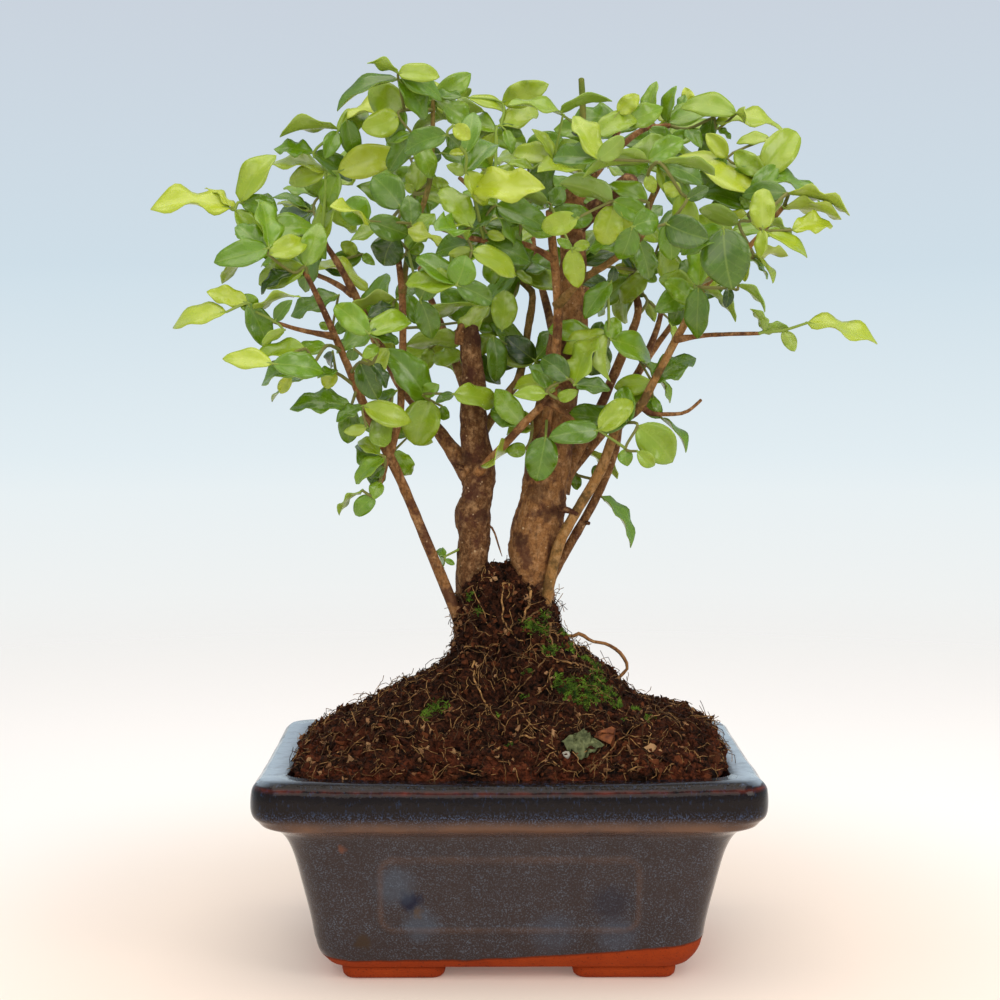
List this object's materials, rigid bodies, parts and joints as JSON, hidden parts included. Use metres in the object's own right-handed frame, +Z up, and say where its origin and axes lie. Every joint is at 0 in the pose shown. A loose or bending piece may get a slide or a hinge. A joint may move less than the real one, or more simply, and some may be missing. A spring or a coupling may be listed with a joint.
{
  "type": "chinese privet bonsai",
  "caption": "Twin-trunk Chinese privet bonsai with a wide leafy crown, rooted in a heap of peat in a rectangular glazed pot on feet.",
  "frame": {"origin": "on the surface that the pot stands on, below the middle of the pot and of the whole plant", "axes": "+Z up the trunks, +X along the pot's long side, -Y towards the front that the picture shows"},
  "size_m": [0.2295, 0.1455, 0.294],
  "materials": {
    "glazed_stoneware": "gloss",
    "mesh_plastic": "matte",
    "peat": "matte",
    "bark": "matte",
    "leaf": "satin"
  },
  "bodies": {
    "root": {"pot": "glazed_stoneware", "drain_mesh_left": "mesh_plastic", "drain_mesh_right": "mesh_plastic", "soil": "peat", "wood": "bark", "shoot_far_left": "leaf", "shoot_left_top_stem": "leaf", "shoot_left_top_inner": "leaf", "shoot_left_tip": "leaf", "shoot_left_reach": "leaf", "shoot_left_low": "leaf", "shoot_left_low_inner": "leaf", "shoot_left_limb_side": "leaf", "shoot_left_limb_fork": "leaf", "shoot_top_left": "leaf", "shoot_top_left_tip": "leaf", "shoot_top_middle": "leaf", "shoot_front_light": "leaf", "shoot_upper_left": "leaf", "shoot_inner_left_tip": "leaf", "shoot_front_twig_tip": "leaf", "shoot_front_twig_side": "leaf", "shoot_inner_left_upper": "leaf", "shoot_inner_left_middle": "leaf", "shoot_middle_stem_side": "leaf", "shoot_limb_front": "leaf", "shoot_long_left_middle": "leaf", "shoot_left_trunk_top": "leaf", "shoot_middle_stem_low": "leaf", "shoot_inner_left_low": "leaf", "shoot_top_right": "leaf", "shoot_top_right_crest": "leaf", "shoot_top_far_right": "leaf", "shoot_front_right_tip": "leaf", "shoot_fork_top": "leaf", "shoot_front_right_stem": "leaf", "shoot_front_stem_top": "leaf", "shoot_right_front": "leaf", "shoot_right_inner": "leaf", "shoot_right_top": "leaf", "shoot_far_right": "leaf", "shoot_right_hanging": "leaf", "shoot_right_reach": "leaf", "shoot_limb_high_tip": "leaf", "shoot_long_right_upper": "leaf", "shoot_right_trunk_front": "leaf", "shoot_limb_high_side": "leaf", "shoot_crossing_tip": "leaf", "shoot_crossing_low": "leaf", "shoot_trunk_leaf": "leaf", "shoot_long_right_front": "leaf", "shoot_long_right_side": "leaf", "shoot_behind_low": "leaf", "shoot_long_left_hanging": "leaf", "shoot_long_left_side": "leaf", "shoot_trunk_bud": "leaf", "shoot_back_left": "leaf", "shoot_back_middle": "leaf", "shoot_back_right": "leaf", "shoot_back_far_right": "leaf"}
  },
  "joints": []
}
